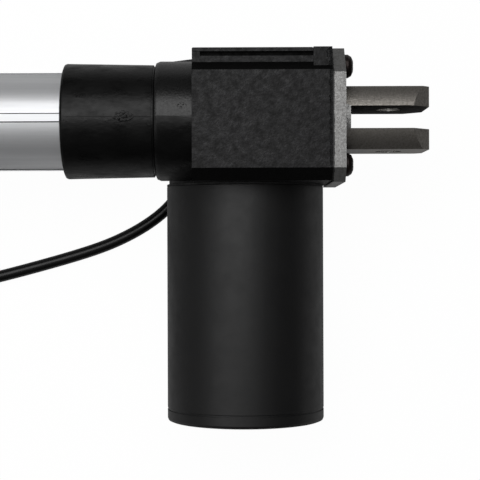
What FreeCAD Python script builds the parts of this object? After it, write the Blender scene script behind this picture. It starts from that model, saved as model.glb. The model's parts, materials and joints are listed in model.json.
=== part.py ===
import FreeCAD, Part
import math
import os

# Lift chair linear actuator, lying on its motor's flank. Millimetres.
# Origin: centre of the rear pivot bore. +X runs from the tube towards the rear clevis, so the rod
# extends along -X. The motor hangs along -Y, both pivot bores lie along Y, and +Z is up.

# Driving dimensions: travel and overall length
STROKE = 195.0
FIXED_LENGTH = 185.0            # pivot to pivot, retracted, less the stroke

# Rear clevis: die-cast plate with a slotted round fork
PIVOT_BORE = 10.1
FORK_SLOT = 8.5
FORK_HEIGHT = 24.0
FORK_ROUND = 36.6
FORK_REACH = 14.5
FORK_CROTCH = 15.9
FORK_CORNER = 7.2
PIVOT_TO_PLATE = 18.2
PLATE_THICK = 5.0
PLATE_TOP_CHAMFER = 10.0
PLATE_PROUD = 0.4               # plate's top above the lid
PLATE_FOOT = 0.6                # plate's foot below the gearbox
CAST_EDGE = 0.8

# Gearbox housing: a moulded block whose worm side lies behind the tube's axis
GEARBOX_LENGTH = 52.5
GEARBOX_FRONT = 25.0
GEARBOX_BACK = 35.0
GEARBOX_TOP = 24.3
GEARBOX_BOTTOM = 24.0
GEARBOX_CHAMFER = 4.6
FACE_TOP = 17.1                 # top edge of the flat front face
STRIP_SETBACK = 3.2             # front face to the strip under the lid
LID_THICK = 1.5
LID_OVERHANG = 0.4
LID_GROOVE = 1.7
LID_GROOVE_DEPTH = 1.6
LID_GROOVE_INSET = 3.0
LID_EDGE = 0.6
CORNER_BLOCK = 7.0
CORNER_BLOCK_DROP = 6.0
CORNER_BLOCK_PROUD = 1.5
NECK_ROUND = 46.4
NECK_LENGTH = 14.8
NECK_EDGE = 2.0
NECK_RIB = 3.0
NECK_RIB_RUN = 8.0
BACK_RIB = 2.5
BACK_RIB_PITCH = 15.0
BACK_RIB_RISE = 16.0
BACK_RIB_INSET = 4.0

# Tube, collar and front cap
TUBE_ROUND = 37.2
TUBE_WALL = 2.0
TUBE_RIB_WIDTH = 2.8
TUBE_RIB_HEIGHT = 0.4
TUBE_SOCKET = 12.5
COLLAR_ROUND = 43.6
COLLAR_LENGTH = 34.4
COLLAR_GAP = 0.6
COLLAR_LIP_ROUND = 42.4
COLLAR_DRAFT = 0.6              # on the radius, towards the front
COLLAR_EDGE = 1.0
CAP_LENGTH = 20.0
CAP_WALL = 4.0
CAP_GUIDE = 22.0
WIPER_WIDTH = 2.5
WIPER_RING = 3.0

# Rod, nut and front fork
ROD_ROUND = 25.0
ROD_WALL = 2.0
ROD_SHOW = 10.0
NUT_LENGTH = 30.0
NUT_SHANK = 18.0
NUT_END_CLEAR = 3.0
FRONT_FORK_ROUND = 28.0
FRONT_REACH = 13.0
FRONT_CROTCH = 14.0
FRONT_WEB = 4.0
FRONT_SHANK = 17.0
FRONT_CORNER = 4.0
CROSS_PIN = 4.0

# Spindle and gears
SPINDLE_ROUND = 14.0
JOURNAL_ROUND = 15.0
WORM_DISTANCE = 20.0            # spindle axis to worm axis
WHEEL_TEETH = 30
WHEEL_WIDTH = 14.0
WHEEL_TOOTH = 2.2
WHEEL_SIDE_GAP = 0.8
WHEEL_HUB_WALL = 4.0
WORM_ROUND = 8.0
WORM_LENGTH = 26.0
WORM_BUSH = 7.5                 # past the worm's end
WORM_BUSH_WALL = 2.0
SPINDLE_PASSAGE = 2.0           # round the spindle
BEARING_ROUND = 35.0
BEARING_WIDTH = 11.0
BEARING_SETBACK = 1.8           # wheel to bearing
LOCKNUT_FLATS = 22.0
LOCKNUT_THICK = 6.0
BUSH_ROUND = 24.0
BUSH_WIDTH = 7.0

# Motor
MOTOR_ROUND = 63.0
MOTOR_WALL = 1.5
MOTOR_CAN_LENGTH = 88.8
MOTOR_CAP_THICK = 5.2
MOTOR_CAP_EDGE = 1.2
MOTOR_SEAM = 0.7
MOTOR_SETBACK = 19.9            # gearbox left face to motor axis
FLANGE_ROUND = 61.2
FLANGE_THICK = 8.6
FLANGE_STEP = 0.8
MOTOR_SHAFT = 6.0
MOTOR_PLATE = 4.0
FRONT_BUSH_WALL = 5.0
REAR_BUSH_WALL = 3.0
REAR_BUSH = 4.0
CAP_SPIGOT = 3.0
CAP_SEAM_DEPTH = 0.6
CAP_BOSS_WALL = 6.0
MAGNET_THICK = 5.6
MAGNET_LENGTH = 50.0
MAGNET_ANGLE = 128.0
CORE_ROUND = 46.0
CORE_LENGTH = 40.0
CORE_SLOTS = 12
CORE_SLOT_WIDTH = 2.6
CORE_SLOT_DEPTH = 9.0
WINDING_ROUND = 38.0
WINDING_LENGTH = 6.0
WINDING_BORE_GAP = 2.0
COMMUTATOR_ROUND = 18.0
COMMUTATOR_LENGTH = 12.0
COMMUTATOR_GAP = 1.0
BRUSH_WIDTH = 5.0
BRUSH_LENGTH = 10.0
BRUSH_PLATE = 2.0
BRUSH_PLATE_SETBACK = 9.3       # can's lower end to the top of the plate
TIE_ROD = 4.0
TIE_ROD_HEAD = 6.0
TIE_ROD_GAP = 1.0               # past the core

# Limit switch strip inside the tube
BOARD_WIDTH = 8.0
BOARD_THICK = 1.2
SWITCH_LENGTH = 12.0
SWITCH_WIDTH = 6.0

# Screws
SCREW_SHANK = 4.8
SCREW_HEAD = 8.9
SCREW_HEAD_HEIGHT = 3.2
SCREW_LENGTH = 20.0
SCREW_RISE = 19.3               # up from the tube's axis
SCREW_DROP = 17.9
SCREW_FRONT = 15.0
SCREW_BACK = 25.0
LID_SCREW_SHANK = 3.0
LID_SCREW_HEAD = 6.0
LID_SCREW_HEAD_HEIGHT = 1.4
LID_SCREW_LENGTH = 10.0
LID_SCREW_INSET = 6.5
LID_SCREW_GAP = 2.5             # past the end of the clevis screws

# Cable: a round motor lead with a moulded exit boot and a round plug
CABLE_ROUND = 5.0
BOOT_ROUND = 13.0
BOOT_HEIGHT = 11.0
BOOT_NOSE = 14.0
BOOT_TIP_ROUND = 6.6
BOOT_EDGE = 2.0
COIL_MEAN_ROUND = 55.0
COIL_TURNS_WIDE = 2
COIL_TURNS_HIGH = 2
TIE_THICK = 0.8
TIE_WIDTH = 5.0
TAIL_LENGTH = 9.0
PLUG_ROUND = 12.0
PLUG_NECK_WALL = 1.0
PLUG_LENGTH = 24.0
PLUG_NECK = 12.0
PLUG_NOSE_ROUND = 9.0
PLUG_NOSE = 8.0

# Clearances
RUNNING = 0.05                  # shaft in a hole, on the radius
SLIDING = 0.3                   # other moving faces
SEAT = 0.05                     # loose seat between fixed pieces

# Stations along X
PLATE_OUT = -PIVOT_TO_PLATE
PLATE_IN = PLATE_OUT - PLATE_THICK
BOX_LEFT = PLATE_IN - GEARBOX_LENGTH
NECK_LEFT = BOX_LEFT - NECK_LENGTH
COLLAR_RIGHT = NECK_LEFT - COLLAR_GAP
COLLAR_LEFT = COLLAR_RIGHT - COLLAR_LENGTH
TUBE_REAR = NECK_LEFT + TUBE_SOCKET
FRONT_PIVOT = -(STROKE + FIXED_LENGTH)
ROD_FRONT = FRONT_PIVOT + FRONT_CROTCH + FRONT_WEB
CAP_FRONT = ROD_FRONT + ROD_SHOW
TUBE_FRONT = CAP_FRONT + CAP_WALL
CAP_INNER = CAP_FRONT + CAP_GUIDE
NUT_FRONT = CAP_INNER + NUT_END_CLEAR + STROKE
NUT_REAR = NUT_FRONT + NUT_LENGTH
MOTOR_X = BOX_LEFT + MOTOR_SETBACK
MOTOR_Z = -WORM_DISTANCE
WHEEL_CHAMBER = MOTOR_X - WHEEL_WIDTH / 2 - WHEEL_SIDE_GAP
BEARING_FRONT = MOTOR_X + WHEEL_WIDTH / 2 + BEARING_SETBACK
BEARING_REAR = BEARING_FRONT + BEARING_WIDTH
BUSH_FRONT = WHEEL_CHAMBER - BUSH_WIDTH

# Stations along Y
MOTOR_TOP = -GEARBOX_BOTTOM - FLANGE_STEP
CAN_BOTTOM = MOTOR_TOP - MOTOR_CAN_LENGTH
MOTOR_BOTTOM = CAN_BOTTOM - MOTOR_CAP_THICK
LID_TOP = GEARBOX_TOP + LID_THICK
BRUSH_PLATE_TOP = CAN_BOTTOM + BRUSH_PLATE_SETBACK
COMMUTATOR_TOP = BRUSH_PLATE_TOP + COMMUTATOR_GAP + COMMUTATOR_LENGTH
CORE_TOP = COMMUTATOR_TOP + COMMUTATOR_GAP + WINDING_LENGTH + CORE_LENGTH

# Radii that pieces share
TUBE_R = TUBE_ROUND / 2
RIB_R = TUBE_R + TUBE_RIB_HEIGHT
TUBE_BORE_R = TUBE_R - TUBE_WALL
ROD_R = ROD_ROUND / 2
ROD_BORE_R = ROD_R - ROD_WALL
SPINDLE_R = SPINDLE_ROUND / 2
JOURNAL_R = JOURNAL_ROUND / 2
MOTOR_R = MOTOR_ROUND / 2
CAN_BORE_R = MOTOR_R - MOTOR_WALL
SHAFT_R = MOTOR_SHAFT / 2
WHEEL_R = WORM_DISTANCE - WORM_ROUND / 2 - SLIDING
BOARD_BACK = math.sqrt(TUBE_BORE_R ** 2 - (BOARD_WIDTH / 2) ** 2) - SEAT
BOARD_FACE = BOARD_BACK - BOARD_THICK
SWITCH_FACE = ROD_R + SLIDING
BEARING_R = BEARING_ROUND / 2
FLOOR = MOTOR_Z - MOTOR_R
CABLE_Z = FLOOR + CABLE_ROUND / 2

EASE = 1 - math.sqrt(0.5)       # where a round corner's arc crosses its diagonal

X_AXIS = FreeCAD.Vector(1, 0, 0)
Y_AXIS = FreeCAD.Vector(0, 1, 0)
Z_AXIS = FreeCAD.Vector(0, 0, 1)
ORIGIN = FreeCAD.Vector(0, 0, 0)


def vec(x, y, z):
    return FreeCAD.Vector(x, y, z)


def block(low, high):
    return Part.makeBox(high[0] - low[0], high[1] - low[1], high[2] - low[2], vec(*low))


def rod_x(radius, left, right, y=0.0, z=0.0):
    return Part.makeCylinder(radius, right - left, vec(left, y, z), X_AXIS)


def rod_y(radius, low, high, x=MOTOR_X, z=MOTOR_Z):
    return Part.makeCylinder(radius, high - low, vec(x, low, z), Y_AXIS)


def rod_z(radius, low, high, x, y):
    return Part.makeCylinder(radius, high - low, vec(x, y, low), Z_AXIS)


def lathe_x(outline):
    """Turn a closed outline of (x, radius) points about the tube's axis."""
    wire = Part.makePolygon([vec(x, r, 0) for x, r in outline + outline[:1]])
    return Part.Face(wire).revolve(ORIGIN, X_AXIS, 360)


def lathe_y(outline):
    """Turn a closed outline of (radius, y) points about the motor's axis."""
    wire = Part.makePolygon([vec(r, y, 0) for r, y in outline + outline[:1]])
    solid = Part.Face(wire).revolve(ORIGIN, Y_AXIS, 360)
    solid.translate(vec(MOTOR_X, 0, MOTOR_Z))
    return solid


def eased(x, r, along, across):
    """Outline points for a turned corner, rounded in two flats: along and across point back inside."""
    return [(x, r + across), (x + EASE * along, r + EASE * across), (x + along, r)]


def prism_x(section, left, right):
    """Extrude a closed section of (y, z) points along X."""
    wire = Part.makePolygon([vec(left, y, z) for y, z in section + section[:1]])
    return Part.Face(wire).extrude(vec(right - left, 0, 0))


def rounded(shape, radius, chosen):
    """Fillet the edges that the test picks out."""
    edges = [edge for edge in shape.Edges if chosen(edge)]
    return shape.makeFillet(radius, edges)


def runs_along_y(edge):
    """True for a straight edge parallel to the pivot bores."""
    if not isinstance(edge.Curve, Part.Line):
        return False
    return abs(abs(edge.Curve.Direction.y) - 1) < 0.001


def save(name, shape):
    shape.exportStep(os.path.join("parts", name + ".step"))


def screw_places():
    return [(y, z) for y in (SCREW_RISE, -SCREW_DROP) for z in (SCREW_FRONT, -SCREW_BACK)]


def lid_screw_places():
    right = PLATE_OUT - SCREW_LENGTH - LID_SCREW_GAP - LID_SCREW_SHANK / 2
    xs = (BOX_LEFT + LID_SCREW_INSET, right)
    zs = (GEARBOX_FRONT - STRIP_SETBACK - LID_SCREW_INSET, LID_SCREW_INSET - GEARBOX_BACK)
    return [(x, z) for x in xs for z in zs]


# Rear clevis
def fork(reach, crotch_x, foot_x, round_dia, corner, slot, height):
    """A round bar along X, flat above and below, slotted for the mating tab and bored across."""
    radius = round_dia / 2
    bar = rod_x(radius, foot_x, reach)
    bar = bar.common(block((foot_x, -height / 2, -radius), (reach, height / 2, radius)))
    bar = bar.cut(block((crotch_x, -slot / 2, -radius - 1), (reach + 1, slot / 2, radius + 1)))
    for side in (1, -1):
        nick = Part.makePolygon([
            vec(reach - corner, -height, side * radius),
            vec(reach + 1, -height, side * (radius - corner - 1)),
            vec(reach + 1, -height, side * radius),
            vec(reach - corner, -height, side * radius),
        ])
        bar = bar.cut(Part.Face(nick).extrude(vec(0, 2 * height, 0)))
    return bar


def plate_section():
    top = LID_TOP + PLATE_PROUD
    foot = -GEARBOX_BOTTOM - PLATE_FOOT
    return [
        (-GEARBOX_BOTTOM + GEARBOX_CHAMFER, GEARBOX_FRONT),
        (top - PLATE_TOP_CHAMFER, GEARBOX_FRONT),
        (top, GEARBOX_FRONT - PLATE_TOP_CHAMFER),
        (top, PLATE_TOP_CHAMFER - GEARBOX_BACK),
        (top - PLATE_TOP_CHAMFER, -GEARBOX_BACK),
        (foot, -GEARBOX_BACK),
        (foot, GEARBOX_FRONT - GEARBOX_CHAMFER - PLATE_FOOT),
    ]


def rear_clevis():
    bar = fork(FORK_REACH, -FORK_CROTCH, PLATE_OUT, FORK_ROUND, FORK_CORNER, FORK_SLOT, FORK_HEIGHT)
    bar = rounded(bar, CAST_EDGE, lambda e: runs_along_y(e) and e.CenterOfMass.x > 0)
    plate = prism_x(plate_section(), PLATE_IN, PLATE_OUT)
    casting = plate.fuse(bar)
    casting = casting.cut(rod_y(PIVOT_BORE / 2, -FORK_HEIGHT, FORK_HEIGHT, 0, 0))
    for y, z in screw_places():
        casting = casting.cut(rod_x(SCREW_SHANK / 2 + SEAT, PLATE_IN - 1, PLATE_OUT + 1, y, z))
    return casting.removeSplitter()


def cross_recess(head, floor):
    """Cutter for a cross recess in a screw head along +X, down to its floor."""
    arm = head * 0.07
    reach = head * 0.26
    slot = block((floor, -arm, -reach), (head, arm, reach))
    cross = slot.copy()
    cross.rotate(ORIGIN, X_AXIS, 90)
    return slot.fuse(cross)


def pan_screw(shank, head, head_height, length):
    """A pan head screw along +X with the underside of its head at the origin."""
    radius = head / 2
    screw = lathe_x([
        (-length, 0),
        (-length, shank / 2),
        (0, shank / 2),
        (0, radius),
        (head_height * 0.4, radius),
        (head_height * 0.8, radius * 0.82),
        (head_height, radius * 0.5),
        (head_height, 0),
    ])
    return screw.cut(cross_recess(head, head_height * 0.5))


def clevis_screws():
    screws = []
    for y, z in screw_places():
        screw = pan_screw(SCREW_SHANK, SCREW_HEAD, SCREW_HEAD_HEIGHT, SCREW_LENGTH)
        screw.translate(vec(PLATE_OUT, y, z))
        screws.append(screw)
    return Part.makeCompound(screws)


# Gearbox housing and lid
def housing_section():
    chamfer = GEARBOX_CHAMFER
    strip = GEARBOX_FRONT - STRIP_SETBACK
    return [
        (-GEARBOX_BOTTOM + chamfer, GEARBOX_FRONT),
        (FACE_TOP, GEARBOX_FRONT),
        (FACE_TOP + STRIP_SETBACK, strip),
        (GEARBOX_TOP, strip),
        (GEARBOX_TOP, -GEARBOX_BACK),
        (-GEARBOX_BOTTOM + chamfer, -GEARBOX_BACK),
        (-GEARBOX_BOTTOM, chamfer - GEARBOX_BACK),
        (-GEARBOX_BOTTOM, GEARBOX_FRONT - chamfer),
    ]


def motor_flange():
    disc = rod_y(FLANGE_ROUND / 2, MOTOR_TOP, MOTOR_TOP + FLANGE_THICK)
    ribs = []
    tip = MOTOR_Z - FLANGE_ROUND / 2 + BACK_RIB_INSET
    for step in (0, 1):
        x = MOTOR_X + step * BACK_RIB_PITCH
        base = MOTOR_TOP + FLANGE_THICK - 1.0
        web = Part.makePolygon([
            vec(x - BACK_RIB / 2, base, -GEARBOX_BACK + 1),
            vec(x - BACK_RIB / 2, base, tip + abs(step) * BACK_RIB_INSET),
            vec(x - BACK_RIB / 2, base + BACK_RIB_RISE, -GEARBOX_BACK + 1),
            vec(x - BACK_RIB / 2, base, -GEARBOX_BACK + 1),
        ])
        ribs.append(Part.Face(web).extrude(vec(BACK_RIB, 0, 0)))
    return disc.fuse(ribs)


def neck_rib():
    """Web along the top of the neck, rising to the gearbox's top edge."""
    crown = NECK_ROUND / 2
    web = Part.makePolygon([
        vec(BOX_LEFT - NECK_RIB_RUN, crown - 1.0, -NECK_RIB / 2),
        vec(BOX_LEFT - NECK_RIB_RUN, crown, -NECK_RIB / 2),
        vec(BOX_LEFT + 1, GEARBOX_TOP, -NECK_RIB / 2),
        vec(BOX_LEFT + 1, crown - 1.0, -NECK_RIB / 2),
        vec(BOX_LEFT - NECK_RIB_RUN, crown - 1.0, -NECK_RIB / 2),
    ])
    return Part.Face(web).extrude(vec(0, 0, NECK_RIB))


def gearbox_housing():
    body = prism_x(housing_section(), BOX_LEFT, PLATE_IN)
    strip = GEARBOX_FRONT - STRIP_SETBACK
    groove = block(
        (BOX_LEFT + LID_GROOVE_INSET, GEARBOX_TOP - LID_GROOVE, strip - LID_GROOVE_DEPTH),
        (PLATE_IN - CORNER_BLOCK, GEARBOX_TOP + 1, strip + 1),
    )
    corner = block(
        (PLATE_IN - CORNER_BLOCK, GEARBOX_TOP - CORNER_BLOCK_DROP, 0),
        (PLATE_IN, LID_TOP, strip + CORNER_BLOCK_PROUD),
    )
    corner_points = eased(NECK_LEFT, NECK_ROUND / 2, NECK_EDGE, -NECK_EDGE)
    neck = lathe_x([(NECK_LEFT, 0)] + corner_points + [(BOX_LEFT + 1, NECK_ROUND / 2), (BOX_LEFT + 1, 0)])
    body = body.cut(groove).fuse([corner, neck, neck_rib(), motor_flange()])
    body = body.cut(rod_x(RIB_R + SEAT, NECK_LEFT - 1, TUBE_REAR + SEAT))
    body = body.cut(rod_x(SPINDLE_R + SPINDLE_PASSAGE, NECK_LEFT, PLATE_IN))
    body = body.cut(rod_x(BUSH_ROUND / 2, BUSH_FRONT, PLATE_IN))
    body = body.cut(rod_x(BEARING_R, WHEEL_CHAMBER, PLATE_IN + 1))
    body = body.cut(rod_y(WORM_ROUND / 2 + WORM_BUSH_WALL, MOTOR_TOP - 1, WORM_LENGTH / 2 + WORM_BUSH))
    for y, z in screw_places():
        body = body.cut(rod_x(SCREW_SHANK / 2, PLATE_OUT - SCREW_LENGTH - 1, PLATE_IN + 1, y, z))
    for x, z in lid_screw_places():
        body = body.cut(rod_y(LID_SCREW_SHANK / 2, LID_TOP - LID_SCREW_LENGTH - 1, GEARBOX_TOP + 1, x, z))
    return body.removeSplitter()


def gearbox_lid():
    strip = GEARBOX_FRONT - STRIP_SETBACK
    lid = block(
        (BOX_LEFT, GEARBOX_TOP, -GEARBOX_BACK),
        (PLATE_IN - CORNER_BLOCK - SEAT, LID_TOP, strip + LID_OVERHANG),
    )
    lid = rounded(lid, LID_EDGE, lambda e: abs(e.CenterOfMass.y - LID_TOP) < 0.01)
    for x, z in lid_screw_places():
        lid = lid.cut(rod_y(LID_SCREW_SHANK / 2 + SEAT, GEARBOX_TOP - 1, LID_TOP + 1, x, z))
        sink = Part.makeCone(
            LID_SCREW_SHANK / 2 + SEAT,
            LID_SCREW_HEAD / 2 + SEAT,
            LID_SCREW_HEAD_HEIGHT,
            vec(x, LID_TOP - LID_SCREW_HEAD_HEIGHT, z),
            Y_AXIS,
        )
        lid = lid.cut(sink)
    return lid


def countersunk_screw(shank, head, head_height, length):
    """A flat head screw along +X with the top of its head at the origin."""
    screw = lathe_x([
        (-length, 0),
        (-length, shank / 2),
        (-head_height, shank / 2),
        (0, head / 2),
        (0, 0),
    ])
    return screw.cut(cross_recess(head, -head_height * 0.6))


def lid_screws():
    screws = []
    for x, z in lid_screw_places():
        screw = countersunk_screw(LID_SCREW_SHANK, LID_SCREW_HEAD, LID_SCREW_HEAD_HEIGHT, LID_SCREW_LENGTH)
        screw.rotate(ORIGIN, Z_AXIS, 90)
        screw.translate(vec(x, LID_TOP, z))
        screws.append(screw)
    return Part.makeCompound(screws)


# Tube, collar and cap
def outer_tube():
    tube = rod_x(TUBE_R, TUBE_FRONT, TUBE_REAR)
    half = TUBE_RIB_WIDTH / 2
    for across in ((half, RIB_R), (RIB_R, half)):
        y, z = across
        tube = tube.fuse(block((TUBE_FRONT, -y, -z), (TUBE_REAR, y, z)))
    return tube.cut(rod_x(TUBE_BORE_R, TUBE_FRONT - 1, TUBE_REAR + 1)).removeSplitter()


def tube_collar():
    bore = RIB_R + SEAT
    return lathe_x([
        (COLLAR_LEFT, bore),
        *eased(COLLAR_LEFT, COLLAR_ROUND / 2 + COLLAR_DRAFT, COLLAR_EDGE, -COLLAR_EDGE),
        (COLLAR_RIGHT, COLLAR_ROUND / 2),
        (COLLAR_RIGHT, COLLAR_LIP_ROUND / 2),
        (NECK_LEFT, COLLAR_LIP_ROUND / 2),
        (NECK_LEFT, bore),
    ])


def tube_end_cap():
    """Cup over the tube's front end, with an inner sleeve that guides the rod."""
    outer = COLLAR_ROUND / 2
    rear = CAP_FRONT + CAP_LENGTH
    guide = TUBE_BORE_R - SEAT
    bore = ROD_R + RUNNING
    cap = lathe_x([
        (CAP_FRONT, bore),
        *eased(CAP_FRONT, outer, COLLAR_EDGE, -COLLAR_EDGE),
        (rear, outer),
        (rear, RIB_R + SEAT),
        (TUBE_FRONT, RIB_R + SEAT),
        (TUBE_FRONT, guide),
        (CAP_INNER, guide),
        (CAP_INNER, bore),
    ])
    cap = cap.cut(rod_x(ROD_R + WIPER_RING, CAP_FRONT - 1, CAP_FRONT + WIPER_WIDTH))
    keyway = block(
        (TUBE_FRONT + SEAT, -BOARD_WIDTH / 2 - SEAT, -TUBE_R),
        (CAP_INNER + 1, BOARD_WIDTH / 2 + SEAT, -SWITCH_FACE),
    )
    return cap.cut(keyway)


def rod_wiper():
    ring = rod_x(ROD_R + WIPER_RING, CAP_FRONT, CAP_FRONT + WIPER_WIDTH)
    return ring.cut(rod_x(ROD_R + RUNNING, CAP_FRONT - 1, CAP_FRONT + WIPER_WIDTH + 1))


def limit_switch_board():
    return block(
        (TUBE_FRONT + CAP_WALL, -BOARD_WIDTH / 2, -BOARD_BACK),
        (TUBE_REAR, BOARD_WIDTH / 2, -BOARD_FACE),
    )


def limit_switches():
    switches = []
    for left in (CAP_INNER + SEAT, NUT_REAR - SWITCH_LENGTH):
        switches.append(block(
            (left, -SWITCH_WIDTH / 2, -BOARD_FACE),
            (left + SWITCH_LENGTH, SWITCH_WIDTH / 2, -SWITCH_FACE),
        ))
    return Part.makeCompound(switches)


# Rod, nut and front fork
def rod_tube():
    tube = rod_x(ROD_R, ROD_FRONT, NUT_FRONT)
    tube = tube.cut(rod_x(ROD_BORE_R, ROD_FRONT - 1, NUT_FRONT + 1))
    return tube.cut(cross_pin())


def drive_nut():
    guide = rod_x(TUBE_BORE_R - SLIDING, NUT_FRONT, NUT_REAR)
    shank = rod_x(ROD_BORE_R - SEAT, NUT_FRONT - NUT_SHANK, NUT_FRONT)
    nut = guide.fuse(shank).cut(rod_x(SPINDLE_R + RUNNING, NUT_FRONT - NUT_SHANK - 1, NUT_REAR + 1))
    half = BOARD_WIDTH / 2 + SLIDING
    keyway = block((NUT_FRONT - 1, -half, -TUBE_R), (NUT_REAR + 1, half, SLIDING - SWITCH_FACE))
    return nut.cut(keyway)


def front_fork():
    bar = fork(FRONT_REACH, -FRONT_CROTCH, -FRONT_CROTCH - FRONT_WEB, FRONT_FORK_ROUND, FRONT_CORNER,
               FORK_SLOT, FORK_HEIGHT)
    bar = rounded(bar, CAST_EDGE, lambda e: runs_along_y(e) and e.CenterOfMass.x > 0)
    bar = bar.cut(rod_y(PIVOT_BORE / 2, -FORK_HEIGHT, FORK_HEIGHT, 0, 0))
    shank = rod_x(ROD_BORE_R - SEAT, -FRONT_CROTCH - FRONT_WEB - FRONT_SHANK, -FRONT_CROTCH - 1)
    bar = bar.fuse(shank)
    bar.rotate(ORIGIN, Y_AXIS, 180)
    bar.translate(vec(FRONT_PIVOT, 0, 0))
    return bar.cut(cross_pin()).removeSplitter()


def cross_pin():
    return rod_z(CROSS_PIN / 2, -ROD_R, ROD_R, ROD_FRONT + FRONT_SHANK / 2, 0)


# Spindle and gears
def spindle():
    screw = rod_x(SPINDLE_R, CAP_INNER, BUSH_FRONT - 1.0)
    journal = rod_x(JOURNAL_R, BUSH_FRONT - 1.0, BEARING_REAR + LOCKNUT_THICK + 1.0)
    return screw.fuse(journal)


def worm_wheel():
    left = MOTOR_X - WHEEL_WIDTH / 2
    right = MOTOR_X + WHEEL_WIDTH / 2
    rim = rod_x(WHEEL_R, left, right)
    hub = rod_x(JOURNAL_R + WHEEL_HUB_WALL, left, BEARING_FRONT - SLIDING)
    wheel = rim.fuse(hub).cut(rod_x(JOURNAL_R, left - 1, right + WHEEL_WIDTH))
    pitch = 2 * math.pi * WHEEL_R / WHEEL_TEETH
    gap = Part.makePolygon([
        vec(left - 1, -pitch * 0.32, WHEEL_R + 0.2),
        vec(left - 1, -pitch * 0.16, WHEEL_R - WHEEL_TOOTH),
        vec(left - 1, pitch * 0.16, WHEEL_R - WHEEL_TOOTH),
        vec(left - 1, pitch * 0.32, WHEEL_R + 0.2),
        vec(left - 1, -pitch * 0.32, WHEEL_R + 0.2),
    ])
    space = Part.Face(gap).extrude(vec(WHEEL_WIDTH + 2, 0, 0))
    spaces = []
    for tooth in range(WHEEL_TEETH):
        cutter = space.copy()
        cutter.rotate(ORIGIN, X_AXIS, 360.0 * tooth / WHEEL_TEETH)
        spaces.append(cutter)
    return wheel.cut(spaces)


def spindle_bearing():
    ring = rod_x(BEARING_R, BEARING_FRONT, BEARING_REAR)
    ring = ring.cut(rod_x(JOURNAL_R + RUNNING, BEARING_FRONT - 1, BEARING_REAR + 1))
    face = lathe_x([
        (BEARING_REAR - 0.6, JOURNAL_R + 3.0),
        (BEARING_REAR + 1, JOURNAL_R + 3.0),
        (BEARING_REAR + 1, BEARING_R - 3.0),
        (BEARING_REAR - 0.6, BEARING_R - 3.0),
    ])
    return ring.cut(face)


def spindle_bush():
    ring = rod_x(BUSH_ROUND / 2, BUSH_FRONT, WHEEL_CHAMBER)
    return ring.cut(rod_x(JOURNAL_R + RUNNING, BUSH_FRONT - 1, WHEEL_CHAMBER + 1))


def spindle_locknut():
    corner = LOCKNUT_FLATS / math.sqrt(3)
    left = BEARING_REAR + SEAT
    points = []
    for side in range(7):
        angle = math.radians(60 * side)
        points.append(vec(left, corner * math.cos(angle), corner * math.sin(angle)))
    nut = Part.Face(Part.makePolygon(points)).extrude(vec(LOCKNUT_THICK, 0, 0))
    return nut.cut(rod_x(JOURNAL_R, left - 1, left + LOCKNUT_THICK + 1))


# Motor
def motor_can():
    can = rod_y(MOTOR_R, CAN_BOTTOM, MOTOR_TOP)
    return can.cut(rod_y(CAN_BORE_R, CAN_BOTTOM - 1, MOTOR_TOP + 1))


def tie_rod_places():
    offset = CORE_ROUND / 2 + TIE_ROD / 2 + TIE_ROD_GAP
    return [MOTOR_Z + offset, MOTOR_Z - offset]


def motor_end_cap():
    bore = CAN_BORE_R - SEAT
    cap = lathe_y([
        (0, MOTOR_BOTTOM),
        (MOTOR_R - MOTOR_CAP_EDGE, MOTOR_BOTTOM),
        (MOTOR_R - EASE * MOTOR_CAP_EDGE, MOTOR_BOTTOM + EASE * MOTOR_CAP_EDGE),
        (MOTOR_R, MOTOR_BOTTOM + MOTOR_CAP_EDGE),
        (MOTOR_R, CAN_BOTTOM - MOTOR_SEAM),
        (bore - CAP_SEAM_DEPTH, CAN_BOTTOM - MOTOR_SEAM),
        (bore - CAP_SEAM_DEPTH, CAN_BOTTOM),
        (bore, CAN_BOTTOM),
        (bore, CAN_BOTTOM + CAP_SPIGOT),
        (bore - CAP_SPIGOT, CAN_BOTTOM + CAP_SPIGOT),
        (bore - CAP_SPIGOT, CAN_BOTTOM + 0.5),
        (SHAFT_R + CAP_BOSS_WALL, CAN_BOTTOM + 0.5),
        (SHAFT_R + CAP_BOSS_WALL, CAN_BOTTOM + REAR_BUSH),
        (0, CAN_BOTTOM + REAR_BUSH),
    ])
    cap = cap.cut(rod_y(SHAFT_R + REAR_BUSH_WALL, CAN_BOTTOM - 1.0, CAN_BOTTOM + REAR_BUSH + 1))
    for z in tie_rod_places():
        cap = cap.cut(rod_y(TIE_ROD / 2, MOTOR_BOTTOM - 1, CAN_BOTTOM + 5, MOTOR_X, z))
        sink = TIE_ROD_HEAD / 2 + SEAT
        cap = cap.cut(rod_y(sink, MOTOR_BOTTOM - 1, MOTOR_BOTTOM + TIE_ROD * 0.7, MOTOR_X, z))
    return cap


def motor_tie_rods():
    rods = []
    for z in tie_rod_places():
        stud = rod_y(TIE_ROD / 2, MOTOR_BOTTOM + TIE_ROD * 0.7, MOTOR_TOP - MOTOR_PLATE, MOTOR_X, z)
        head = rod_y(TIE_ROD_HEAD / 2, MOTOR_BOTTOM + TIE_ROD * 0.2, MOTOR_BOTTOM + TIE_ROD * 0.7, MOTOR_X, z)
        rods.append(stud.fuse(head))
    return Part.makeCompound(rods)


def motor_front_plate():
    plate = rod_y(CAN_BORE_R - SEAT, MOTOR_TOP - MOTOR_PLATE, MOTOR_TOP)
    return plate.cut(rod_y(SHAFT_R + FRONT_BUSH_WALL, MOTOR_TOP - MOTOR_PLATE - 1, MOTOR_TOP + 1))


def shaft_bush(low, high, outer):
    ring = rod_y(outer, low, high)
    return ring.cut(rod_y(SHAFT_R + RUNNING, low - 1, high + 1))


def motor_front_bush():
    return shaft_bush(MOTOR_TOP - MOTOR_PLATE, MOTOR_TOP, SHAFT_R + FRONT_BUSH_WALL)


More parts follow.
